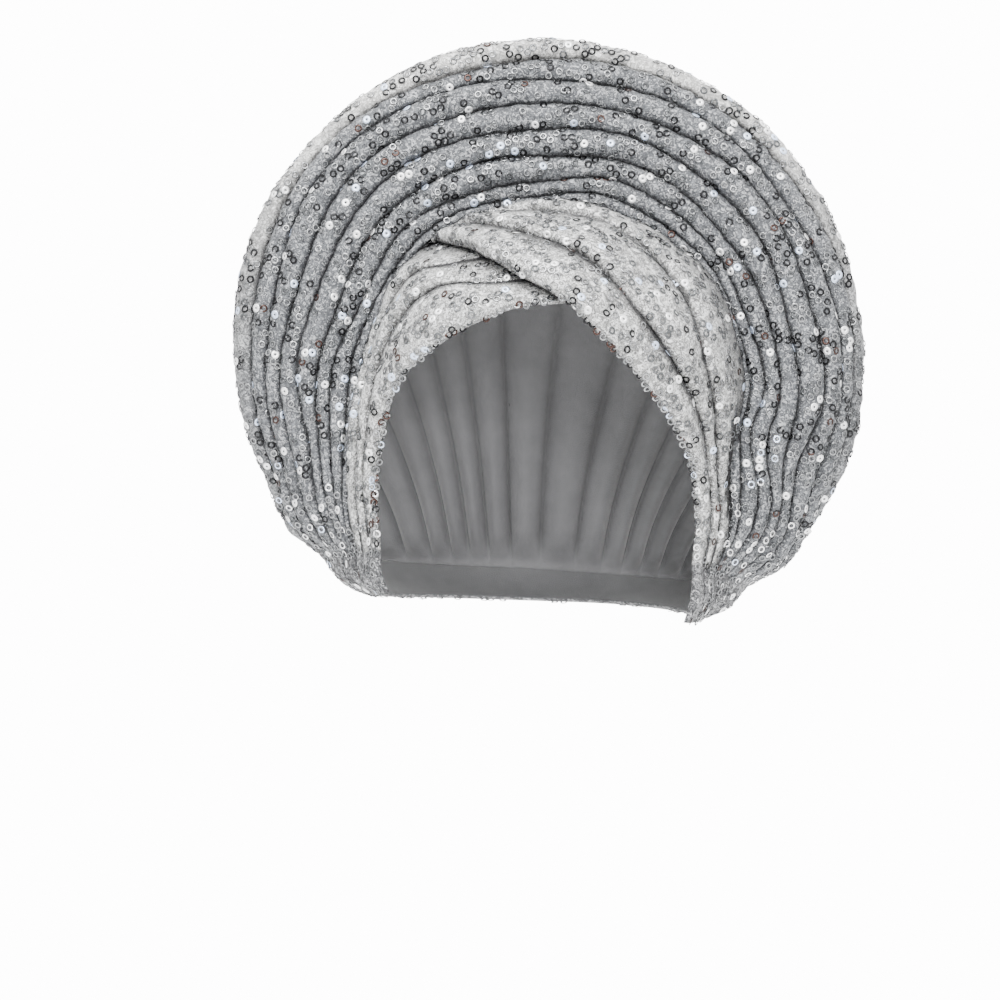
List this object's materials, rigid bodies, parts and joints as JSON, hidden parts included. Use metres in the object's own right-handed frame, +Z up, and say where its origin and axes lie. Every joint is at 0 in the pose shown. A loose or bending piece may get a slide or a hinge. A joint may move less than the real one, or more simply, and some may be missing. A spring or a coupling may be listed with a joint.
{
  "type": "sequin turban cap",
  "caption": "Pre-tied head wrap of sequined cloth: a pleated halo round the head, crossed bands over the forehead, a plain gathered crown and an open hollow for the head.",
  "frame": {"origin": "middle of the opening that the head goes in by, level with the ear lobes", "axes": "+Z up, the face looks along -Y, +X to the right as one looks at the face"},
  "size_m": [0.2709, 0.2096, 0.25],
  "materials": {
    "sequined_cloth": "silver sequined tulle",
    "sequined_cloth_back": "silver sequined tulle, plainer"
  },
  "bodies": {
    "root": {"halo": "sequined_cloth", "upper_band": "sequined_cloth", "lower_band": "sequined_cloth", "crown": "sequined_cloth_back", "collar": "sequined_cloth_back"}
  },
  "joints": []
}
